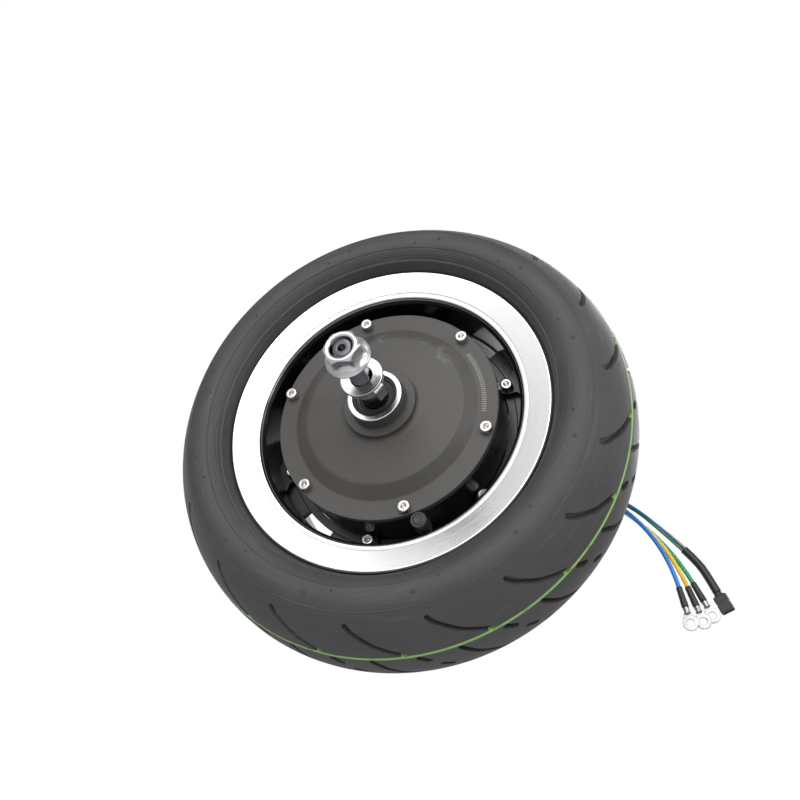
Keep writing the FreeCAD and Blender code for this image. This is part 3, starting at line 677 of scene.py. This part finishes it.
def make_cables():
    """The jacket with its boot, three phase wires with terminals, and the five-wire sensor lead."""
    cord_piece("cable_jacket", JACKET_ROUTE, JACKET_RADIUS, JACKET, [make_boot()])
    for colour, plan in PHASES.items():
        route = phase_route(*plan)
        pieces = [make_heat_shrink(colour, route), make_lug(colour, route)]
        cord_piece("phase_wire_" + colour, route, PHASE_RADIUS, WIRE[colour], pieces)
    for name, plan in HALLS.items():
        cord_piece("hall_wire_" + name, hall_route(*plan), HALL_RADIUS, WIRE[name.replace("sense_", "")],
                   [])
    cord_piece("sensor_sleeve", SLEEVE_ROUTE, SLEEVE_RADIUS, JACKET, [make_plug()])


# ---- rim ----------------------------------------------------------------------------------
def make_rim():
    """Turned barrel with a thin step inside each lip, and the web with its six screw pads."""
    half_barrel, into_barrel = 26.6, 0.3
    outside = [(79.2, 28.6), (80.0, 30.2), (81.6, 30.6), (81.9, 30.1), (82.5, 30.2), (82.7, 31.1),
               (95.4, 34.6), (96.4, 33.6), (96.0, 32.0), (93.8, 31.2), (85.6, 29.0), (SEAT_R, 26.4),
               (SEAT_R, 13.0), (80.6, 9.0)]
    outline = outside + [(radius, -along) for radius, along in reversed(outside)]
    outline += [(BARREL_R, -half_barrel), (BARREL_R, half_barrel)]
    turned_piece("rim_barrel", outline, RIM, "wheel", ("rim",), REAR, 0.5, 256)
    bm = bmesh.new()
    for inner, outer in ((WEB_INNER_R, WINDOW_INNER), (WINDOW_OUTER, BARREL_R + into_barrel)):
        lathe(bm, [(inner, WEB_FRONT), (outer, WEB_FRONT), (outer, WEB_BACK), (inner, WEB_BACK)], 192)
    for number in range(SCREWS):
        angle = RIM_SCREW_ANGLE + SCREW_STEP * number
        add_lug(bm, angle)
        add_web(bm, angle)
    lugs = new_object("rim_lugs", finish_mesh("rim_lugs", bm), GLOSS_BLACK, "wheel")
    soften(lugs, 0.9)


def soften(thing, width):
    """Rounds the edges that stand at an angle; width in millimetres."""
    modifier = thing.modifiers.new("soft_edges", "BEVEL")
    modifier.width = width * MM
    modifier.segments = 3
    modifier.limit_method = "ANGLE"
    even_normals(thing)


def add_plate(bm, points, angle, start, end):
    """A flat plate with an outline of (outward, across) points, turned about the axle to an angle."""
    turned = Matrix.Rotation(-math.radians(angle), 4, "Y")
    rings = []
    for along in (start, end):
        rings.append([turned @ (Vector((outward, along, across)) * MM) for outward, across in points])
    loft(bm, rings)


def add_web(bm, angle):
    """Joins the web's inner and outer ring on both sides of a pad. A window lies between two of these."""
    half_angle = SCREW_STEP / 2 - WINDOW_HALF_ANGLE
    overlap, steps = 0.2, 24
    points = []
    for radius, direction in ((WINDOW_OUTER + overlap, 1), (WINDOW_INNER - overlap, -1)):
        for step in range(steps + 1):
            turn = math.radians(half_angle * direction * (2 * step / steps - 1))
            points.append((radius * math.cos(turn), radius * math.sin(turn)))
    add_plate(bm, points, angle, WEB_FRONT, WEB_BACK)


def add_lug(bm, angle):
    """A pad that widens from a round nose at the screw to the barrel."""
    nose, steps = 5.0, 12
    points = []
    for step in range(steps + 1):
        turn = math.radians(90 + 180 * step / steps)
        points.append((RIM_SCREW_R + nose * math.cos(turn), nose * math.sin(turn)))
    points += [(73.5, -5.6), (76.8, -10.0), (77.6, -11.2), (77.6, 11.2), (76.8, 10.0), (73.5, 5.6)]
    add_plate(bm, points, angle, LUG_FRONT, LUG_BACK)


# ---- covers -------------------------------------------------------------------------------
def make_cover(name, side):
    """Screw ring, ramp, raised disc, boss and collar outside; bearing seat and spigot inside."""
    edge, ramp, spigot = 66.0, 55.5, 58.4
    boss, boss_face = 21.3, 43.4
    collar, collar_bore, collar_face = 15.9, 12.95, 51.8
    bearing_seat = 17.5
    outline = [(edge, 27.5), (edge, COVER_FACE), (ramp, COVER_FACE), (54.6, 31.7), (47.4, 36.2),
               (46.0, 36.5), (24.5, 38.2), (22.4, 38.6), (boss, 39.6), (boss, boss_face), (16.6, boss_face),
               (collar, 43.0), (collar, collar_face), (collar_bore, collar_face), (collar_bore, 42.2),
               (bearing_seat, 42.2), (bearing_seat, 30.6), (21.0, 30.6), (24.0, 28.0), (ramp, 28.0),
               (ramp, 24.0), (spigot, 24.0), (spigot, 27.5)]
    turned_piece(name + "_cover_turned", outline, COVER, "wheel", (name + "_cover",), side, 0.5, 224)


def cap_screw_rings(head_start):
    """Socket cap screw along +Z: knurled head with a hexagon socket."""
    head_height, socket_across = 4.0, 3.0

    def knurl(radius):
        return lambda angle: radius + 0.06 * math.cos(36 * angle)

    def socket(angle):
        return hex_reach(socket_across, angle)

    top = head_start + head_height
    return [circle(3.3, head_start), circle(knurl(3.44), head_start + 0.25),
            circle(knurl(3.44), top - 0.7), circle(3.4, top - 0.5), circle(3.2, top - 0.12),
            circle(3.0, top), circle(1.95, top), circle(lambda angle: socket(angle) + 0.1, top - 0.08),
            circle(socket, top - 0.35), circle(socket, top - 2.0), circle(0.3, top - 2.35)]


def make_screws(name, replaced, radius, first, seat, side):
    """Six cap screws on a circle, each with its socket turned differently."""
    bm = bmesh.new()
    for number in range(SCREWS):
        matrix = along_axle(side, radius, first + SCREW_STEP * number)
        spin = Matrix.Rotation(math.radians(17 * number), 4, "Z")
        loft(bm, [placed(points, matrix @ spin) for points in cap_screw_rings(seat)])
    thing = new_object(name, finish_mesh(name, bm), STAINLESS, "wheel", (replaced,))
    even_normals(thing)


# ---- axle hardware ------------------------------------------------------------------------
def thread_circle(height):
    """One round of the thread's helix at a height, cut by the two flats."""
    chamfer = max(0.0, height - (AXLE_END - 1.0))

    def reach(angle):
        wave = abs(((height / THREAD_PITCH - angle / (2 * math.pi)) % 1.0) - 0.5) * 2
        return THREAD_R - THREAD_DEPTH * wave - chamfer * 0.8

    points = circle(reach, height, 60)
    for point in points:
        point.x = max(-FLAT_HALF, min(FLAT_HALF, point.x))
    return points


def make_axle():
    """Stepped shaft with helical threads and two flats on each end."""
    thread_start, steps = 62.0, 150
    bm = bmesh.new()
    plain = [(9.0, -31.0), (9.0, 31.0), (7.5, 31.0), (7.5, 64.0), (5.6, 64.0), (5.6, -64.0),
             (7.5, -64.0), (7.5, -31.0)]
    lathe(bm, rounded(plain, 0.3), 96)
    for side in (FRONT, REAR):
        stand = along_axle(side)
        rings = []
        for step in range(steps + 1):
            height = thread_start + (AXLE_END - thread_start) * step / steps
            rings.append(placed(thread_circle(height), stand))
        for radius, depth in ((2.3, 0.0), (2.1, 0.2), (0.6, 5.0)):
            rings.append(placed(circle(radius, AXLE_END - depth, 60), stand))
        loft(bm, rings)
    thing = new_object("axle_turned", finish_mesh("axle_turned", bm), STEEL, "axle_body", ("axle",))
    even_normals(thing)


def make_nut(name, side):
    """Hexagon flange nut with a rounded crown, open at both ends for the thread."""
    bm = bmesh.new()
    stand = along_axle(side)
    corner_r = 10.2            # the hexagon's corners are turned down to this radius

    def flange(radius):
        return circle(radius, 0, 96)

    def at(points, height):
        return placed([Vector((point.x, point.y, height)) for point in points], stand)

    def hexed(limit):
        return circle(lambda angle: min(hex_reach(HEX_ACROSS, angle), limit), 0, 96)

    rings = []
    for radius, height in ((6.6, 0.0), (12.2, 0.0), (12.5, 0.3), (12.5, 1.1), (12.1, 1.5), (11.0, 2.2)):
        rings.append(at(flange(radius), NUT_SEAT + height))
    rings.append(at(hexed(corner_r), NUT_SEAT + 2.9))
    for step in range(8):
        rings.append(at(hexed(corner_r), NUT_SEAT + 3.6 + step * 0.9))
    crown_steps = 6
    for step in range(1, crown_steps + 1):
        part = step / crown_steps
        rings.append(at(hexed(10.35 - 1.55 * part), NUT_TOP - 1.5 + 1.3 * part))
    rings += [at(flange(8.3), NUT_TOP), at(flange(7.1), NUT_TOP), at(flange(6.1), NUT_TOP - 0.9),
              at(flange(6.05), NUT_SEAT + 1.0), at(flange(6.6), NUT_SEAT)]
    loft(bm, rings, False)
    bmesh.ops.remove_doubles(bm, verts=bm.verts, dist=0.00001)
    thing = new_object(name + "_flange_nut", finish_mesh(name, bm), ZINC, "axle_body", (name + "_nut",))
    even_normals(thing)


def sleeve_outline(inner, outer, start, end):
    return [(inner, start), (outer, start), (outer, end), (inner, end)]


def make_washers(name, side):
    """Plain washer and spacer, each turned, and the tab washer that they hold between them."""
    washer = sleeve_outline(6.25, 12.0, TAB_WASHER_END, PLAIN_WASHER_END)
    spacer = sleeve_outline(6.1, 9.4, SPACER_START, SPACER_END)
    turned_piece(name + "_washer_turned", washer, ZINC, "axle_body", (name + "_washer",), side, 0.35, 96)
    turned_piece(name + "_spacer_turned", spacer, ZINC, "axle_body", (name + "_spacer",), side, 0.4, 96)
    make_tab_washer(name, side)


def make_tab_washer(name, side):
    """A washer with one tab bent inward over the spacer."""
    tab_angle, tab_inner, tab_outer, tab_tip = 40, 10.8, 12.9, 62.3
    bm = bmesh.new()
    lathe(bm, rounded(sleeve_outline(6.2, 11.7, SPACER_END, TAB_WASHER_END), 0.35), 96, side)
    tilt = Matrix.Rotation(math.radians(tab_angle), 4, "Y")
    bent = rounded([(9.0, 69.5), (10.6, 69.5), (tab_inner, 69.2), (tab_inner, tab_tip),
                    (tab_outer, tab_tip), (tab_outer, 70.6), (12.2, TAB_WASHER_END),
                    (9.0, TAB_WASHER_END)], 0.6)
    middle = Vector((11.5, 68.0))
    rings = []
    for across, shrink in ((-3.2, 0.036), (-3.0, 0.0), (3.0, 0.0), (3.2, 0.036)):
        points = [point.lerp(middle, shrink) for point in bent]
        rings.append([tilt @ (Vector((radius, side * along, across)) * MM) for radius, along in points])
    loft(bm, rings)
    thing = new_object(name + "_tab_washer_bent", finish_mesh(name + "_tab", bm), ZINC, "axle_body",
                       (name + "_tab_washer",))
    even_normals(thing)


def make_seal(name, side):
    """Oil seal with a raised lip and a spring groove."""
    outline = [(12.93, 45.0), (12.93, 50.2), (11.6, 50.2), (11.2, 49.2), (9.4, 49.0), (8.6, 49.8),
               (7.56, 49.6), (7.56, 46.0), (9.0, 45.0)]
    turned_piece(name + "_seal_lip", outline, RUBBER, "wheel", (name + "_seal",), side, 0.3, 96)


def make_strain_relief():
    """Rubber gland with rings that let it flex."""
    start, rings, pitch = (4.6, CABLE_Y, 0), 9, 2.6
    sections = [(4.1, 0.0), (4.1, 3.4), (5.0, 3.5), (5.4, 3.8), (5.4, 5.2), (5.1, 5.5)]
    for ring in range(rings):
        base = 6.2 + ring * pitch
        size = 5.1 - ring * 0.1
        sections += [(size, base), (size, base + 1.5), (size - 0.55, base + 1.8), (size - 0.55, base + 2.4)]
    sections += [(4.2, 30.0), (4.1, 31.0), (3.7, 31.4)]
    loft_piece("cable_gland", sections, RUBBER, ("cable_strain_relief",), toward(start, (1, 0, 0)))


def make_valve():
    """Bent rubber-covered valve: foot in the barrel, elbow, and a neck toward the front."""
    bend_r, steps = 3.6, 7
    turned = Matrix.Rotation(-math.radians(VALVE_ANGLE), 4, "Y")
    bm = bmesh.new()
    foot = [(5.4, 84.2), (5.5, 83.6), (5.5, 82.7), (3.1, 82.6), (3.1, 77.8), (4.3, 77.5),
            (4.1, 76.4), (3.3, 75.4)]
    rings = []
    for radius, height in foot:
        rings.append([turned @ (Vector((height, VALVE_Y + point.x, point.y)) * MM)
                      for point in circle(radius, 0, 40)])
    for step in range(1, steps + 1):
        bend = math.radians(90 * step / steps)
        outward = Vector((math.sin(bend), math.cos(bend), 0))
        inward = Vector((-outward.x, outward.y, 0))
        centre = Vector((VALVE_R + bend_r, VALVE_Y - bend_r, 0)) + inward * bend_r
        rings.append([turned @ ((centre + outward * point.x + Vector((0, 0, point.y))) * MM)
                      for point in circle(2.9, 0, 40)])
    for radius, along in ((2.7, -18.5), (2.6, -21.9)):
        rings.append([turned @ (Vector((VALVE_R + point.x, along, point.y)) * MM)
                      for point in circle(radius, 0, 40)])
    loft(bm, rings)
    thing = new_object("valve_bent", finish_mesh("valve_bent", bm), RUBBER, "wheel", ("valve_stem",))
    even_normals(thing)


def make_valve_cap():
    """Ribbed cap with a small nib in its end."""
    base, ribs, rib_depth = 22.0, 18, 0.25

    def ribbed(radius):
        return lambda angle: radius - rib_depth * (math.cos(ribs * angle) > 0.55)

    bm = bmesh.new()
    matrix = along_axle(FRONT, VALVE_R, VALVE_ANGLE)
    sections = [(2.7, 0.0), (4.4, 0.0), (4.7, 0.3), (4.7, 1.6), (ribbed(4.65), 1.9), (ribbed(4.6), 10.2),
                (4.6, 10.6), (4.4, 11.3), (4.0, 11.7), (3.6, 11.4), (3.2, 11.4), (2.9, 11.8), (1.6, 12.0),
                (1.3, 11.6)]
    loft(bm, [placed(circle(radius, base + height, 96), matrix) for radius, height in sections])
    thing = new_object("valve_cap_ribbed", finish_mesh("valve_cap_ribbed", bm), BLACK_PLASTIC, "wheel",
                       ("valve_cap",))
    even_normals(thing)


# ---- tyre details -------------------------------------------------------------------------
def side_height(radius):
    """The sidewall's distance from the centre plane: the arc through three points of the CAD outline."""
    first, top, last = (98.2, 37.0), (111.0, 46.4), (123.7, 40.0)
    (x1, y1), (x2, y2), (x3, y3) = first, top, last
    slope = 2 * (x1 * (y2 - y3) + x2 * (y3 - y1) + x3 * (y1 - y2))
    square_1, square_2, square_3 = x1 ** 2 + y1 ** 2, x2 ** 2 + y2 ** 2, x3 ** 2 + y3 ** 2
    centre_x = (square_1 * (y2 - y3) + square_2 * (y3 - y1) + square_3 * (y1 - y2)) / slope
    centre_y = (square_1 * (x3 - x2) + square_2 * (x1 - x3) + square_3 * (x2 - x1)) / slope
    reach = math.hypot(x2 - centre_x, y2 - centre_y)
    return centre_y + math.sqrt(max(0.0, reach ** 2 - (radius - centre_x) ** 2))


def sidewall_rings():
    """Moulded ridges round both sidewalls."""
    bm = bmesh.new()
    for side in (FRONT, REAR):
        for radius, half_width, proud in ((99.8, 0.7, 0.5), (106.6, 0.35, 0.25), (119.5, 0.4, 0.3)):
            low, middle, high = (side_height(radius + step) for step in (-half_width, 0, half_width))
            top = 0.4 * half_width
            outline = [(radius - half_width, low - 0.3), (radius - half_width, low),
                       (radius - top, middle + proud), (radius + top, middle + proud),
                       (radius + half_width, high), (radius + half_width, high - 0.3)]
            lathe(bm, outline, 256, side)
    new_object("tyre_side_ridges", finish_mesh("tyre_side_ridges", bm), TYRE, "wheel")


def sidewall_marks():
    """Larger and smaller round vent marks, set evenly round both sidewalls."""
    marks, first = 12, 11
    bm = bmesh.new()
    for side in (FRONT, REAR):
        for number in range(marks):
            angle = first + number * 360 / marks
            for radius, size, proud, ahead in ((113.0, 1.1, 0.35, 0), (109.5, 0.5, 0.5, 7.5)):
                matrix = along_axle(side, radius, angle + ahead)
                base = side_height(radius)
                sections = [(size, base - 0.6), (size, base + proud * 0.6), (size * 0.8, base + proud),
                            (size * 0.5, base + proud), (size * 0.42, base + proud * 0.3)]
                loft(bm, [placed(circle(reach, height, 20), matrix) for reach, height in sections])
    new_object("tyre_side_marks", finish_mesh("tyre_side_marks", bm), TYRE, "wheel")


# ---- the CAD pieces that keep their own shape ---------------------------------------------
def paint_kept_pieces():
    """Gives a material to each CAD piece that has no piece of its own here."""
    kept = {"tyre": TYRE, "motor_shell": GLOSS_BLACK, "magnets": MAGNET, "stator_hub": ALLOY,
            "stator_core": laminated(), "stator_windings": COPPER, "hall_board": BOARD,
            "hall_sensors": BLACK_PLASTIC, "axle_key": STEEL}
    for name in ("front", "rear"):
        for ending in ("_inner_race", "_outer_race", "_balls", "_ball_cage"):
            kept[name + ending] = BEARING
    for node, material in kept.items():
        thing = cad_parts[node]
        thing.data.materials.clear()
        thing.data.materials.append(material)


# ---- stage --------------------------------------------------------------------------------
def make_floor():
    """A wide pale floor, well below the wheel."""
    bm = bmesh.new()
    corners = ((-1, -1), (1, -1), (1, 1), (-1, 1))
    bm.faces.new([bm.verts.new((x * FLOOR_SIZE, y * FLOOR_SIZE, FLOOR_DROP)) for x, y in corners])
    floor = bpy.data.objects.new("floor", finish_mesh("floor", bm, False))
    bpy.context.scene.collection.objects.link(floor)
    nodes = Nodes("pale_floor", FLOOR_COLOR, 0.7)
    darker = tuple(value * 0.94 for value in FLOOR_COLOR)
    nodes.colour(nodes.blend(nodes.noise(1.5, 3.0), FLOOR_COLOR, darker))
    nodes.bump(nodes.noise(300.0, 2.0), 0.0001, 0.3)
    floor.data.materials.append(nodes.material)


def make_world():
    """A pale room: white behind the wheel, a wide soft glow in front of it, dimmer over and under it."""
    world = bpy.data.worlds.new("pale_room")
    world.use_nodes = True
    tree = world.node_tree
    background = tree.nodes["Background"]
    way = tree.nodes.new("ShaderNodeTexCoord")
    parts = tree.nodes.new("ShaderNodeSeparateXYZ")
    tree.links.new(way.outputs["Generated"], parts.inputs[0])

    def ramp(axis, start, end, low, high):
        node = tree.nodes.new("ShaderNodeMapRange")
        tree.links.new(parts.outputs[axis], node.inputs["Value"])
        for name, value in zip(("From Min", "From Max", "To Min", "To Max"), (start, end, low, high)):
            node.inputs[name].default_value = value
        return node.outputs["Result"]

    def join(operation, first, second):
        node = tree.nodes.new("ShaderNodeMath")
        node.operation = operation
        tree.links.new(first, node.inputs[0])
        tree.links.new(second, node.inputs[1])
        return node.outputs[0]

    glow = join("MULTIPLY", ramp("Y", -0.35, -0.9, 0.0, GLOW), ramp("Z", -0.22, -0.02, 0.0, 1.0))
    front = join("ADD", glow, ramp("Z", -0.3, 0.8, ROOM_LOW, ROOM_HIGH))
    whole = join("MAXIMUM", ramp("Y", -0.05, 0.35, 0.0, 1.0), front)
    tree.links.new(whole, background.inputs["Strength"])
    background.inputs["Color"].default_value = (1.0, 1.0, 1.0, 1.0)
    bpy.context.scene.world = world
    bpy.context.scene.view_settings.view_transform = "Standard"


def make_light(name, place, size, power):
    """A square area light that faces the wheel's centre."""
    data = bpy.data.lights.new(name, "AREA")
    data.size = size
    data.energy = power
    light = bpy.data.objects.new(name, data)
    bpy.context.scene.collection.objects.link(light)
    light.location = place
    light.rotation_mode = "QUATERNION"
    light.rotation_quaternion = (-Vector(place)).to_track_quat("-Z", "Y")


def make_lights():
    make_light("key", (0.2, -1.3, 0.55), 1.3, 11.0)
    make_light("fill", (1.4, -0.6, 0.2), 0.8, 6.0)
    make_light("back", (0.3, 0.9, 0.6), 0.7, 8.0)


def main():
    make_camera()
    make_cables()
    make_rim()
    for name, side in (("front", FRONT), ("rear", REAR)):
        make_cover(name, side)
        make_screws(name + "_cover_cap_screws", name + "_cover_screws", COVER_SCREW_R, COVER_SCREW_ANGLE,
                    COVER_FACE, side)
        make_nut(name, side)
        make_washers(name, side)
        make_seal(name, side)
    make_screws("rim_cap_screws", "rim_screws", RIM_SCREW_R, RIM_SCREW_ANGLE, -LUG_FRONT, FRONT)
    make_axle()
    make_strain_relief()
    make_valve()
    make_valve_cap()
    sidewall_rings()
    sidewall_marks()
    paint_kept_pieces()
    make_floor()
    make_world()
    make_lights()


main()
